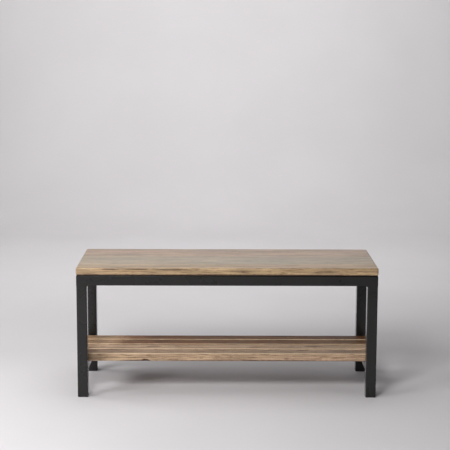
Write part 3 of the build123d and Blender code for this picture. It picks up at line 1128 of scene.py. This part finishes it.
profile = [(sweep_front, 0.0)]
for step in range(curve_steps + 1):
    angle = step / curve_steps * math.pi / 2
    reach_back = curve_start + curve_radius * math.sin(angle)
    profile.append((reach_back, curve_radius * (1 - math.cos(angle))))
profile.append((curve_start + curve_radius, wall_top))

sweep_shape = bmesh.new()
edges = [
    (sweep_shape.verts.new((-sweep_half_width, y, z)), sweep_shape.verts.new((sweep_half_width, y, z)))
    for y, z in profile
]
for (left, right), (next_left, next_right) in zip(edges, edges[1:]):
    sweep_shape.faces.new((left, right, next_right, next_left)).smooth = True
sweep_mesh = bpy.data.meshes.new("studio_sweep")
sweep_shape.to_mesh(sweep_mesh)
sweep_shape.free()

paper, tree, shader = new_material("pale_paper")
place = tree.add("TexCoord").outputs["Object"]
cloud = tree.spread(tree.noise(place, 1.3, 3.0, 0.5), 0.3, 0.7)
tree.put(shader.inputs["Base Color"], tree.blend(cloud, srgb(214, 211, 213), srgb(218, 215, 217)))
shader.inputs["Roughness"].default_value = 0.75
sweep_mesh.materials.append(paper)
sweep = bpy.data.objects.new("studio_sweep", sweep_mesh)
bpy.context.scene.collection.objects.link(sweep)
print("sweep ready")

# %% [markdown]
# ## Light
# Nine soft screens, as in a studio. The one at the front, high up, and three along the left do
# most of the work, so the shadows fall back and to the right. A leaning strip at the left end
# looks in between the seat and the shelf. One screen hangs above, two light the wall behind,
# and a weak one on the right keeps the far legs from going black. The camera sees none of them.

# %% Set the lights
def add_screen(name, place, aim, width, height, power, lean=0.0):
    """A rectangular soft light that looks at a point. lean turns it round its own axis."""
    light = bpy.data.lights.new(name, "AREA")
    light.shape = "RECTANGLE"
    light.size = width
    light.size_y = height
    light.energy = power
    lamp = bpy.data.objects.new(name, light)
    lamp.location = place
    facing = (Vector(aim) - Vector(place)).to_track_quat("-Z", "Y")
    lamp.rotation_euler = (facing @ Quaternion((0.0, 0.0, 1.0), lean)).to_euler()
    lamp.visible_camera = False
    bpy.context.scene.collection.objects.link(lamp)


bench_middle = (0.0, 0.0, 0.2)
strip_lean = math.radians(-15.7)
room_glow = 0.01
add_screen("front_high_screen", (-0.8, -2.4, 2.2), bench_middle, 0.8, 0.8, 46.0)
add_screen("front_left_screen", (-2.6, -2.2, 0.9), bench_middle, 0.8, 0.8, 38.0)
add_screen("middle_left_screen", (-2.4, -1.3, 1.2), bench_middle, 0.4, 0.4, 16.0)
add_screen("left_screen", (-3.0, 0.6, 1.6), bench_middle, 1.0, 1.0, 24.0)
add_screen("right_screen", (2.8, -1.6, 1.3), bench_middle, 1.0, 1.0, 7.0)
add_screen("leaning_strip", (-1.5, -0.285, 0.96), bench_middle, 0.05, 0.85, 2.2, strip_lean)
add_screen("ceiling_screen", (0.0, 0.0, 3.0), bench_middle, 1.5, 1.5, 22.0)
add_screen("wall_screen", (0.0, 1.2, 3.2), (0.0, 5.0, 2.3), 2.0, 1.0, 116.0)
add_screen("left_wall_screen", (-1.6, 1.8, 3.6), (-1.4, 5.0, 1.8), 2.0, 1.0, 16.5)

world = bpy.data.worlds.new("room")
world.use_nodes = True
room = world.node_tree.nodes["Background"]
room.inputs["Color"].default_value = (0.98, 0.97, 1.0, 1.0)
room.inputs["Strength"].default_value = room_glow
bpy.context.scene.world = world
bpy.context.scene.view_settings.view_transform = "Standard"

# %% [markdown]
# ## Camera
# A long lens a little above the bench, level with the middle of its length and tilted down,
# so that the seat shows its top as a thin band and both front legs their inner faces.

# %% Place the camera
camera_place = Vector((-0.0265, -4.5706, 1.3707))
turn = 0.0040
tilt = 0.1467
roll = 0.0032
sensor_width = 36.0
lens_length = 98.43
frame_shift = -0.0485

look = Vector((math.sin(turn) * math.cos(tilt), math.cos(turn) * math.cos(tilt), -math.sin(tilt)))
level = Vector((math.cos(turn), -math.sin(turn), 0.0))
upright = level.cross(look)
side = math.cos(roll) * level + math.sin(roll) * upright
top = math.cos(roll) * upright - math.sin(roll) * level
camera_data = bpy.data.cameras.new("camera")
camera_data.sensor_width = sensor_width
camera_data.lens = lens_length
camera_data.shift_y = frame_shift
camera = bpy.data.objects.new("camera", camera_data)
camera.matrix_world = Matrix.Translation(camera_place) @ Matrix((side, top, -look)).transposed().to_4x4()
bpy.context.scene.collection.objects.link(camera)
bpy.context.scene.camera = camera
print("camera", round((camera_place - Vector((0.0, 0.0, 0.25))).length, 3), "m from the bench")
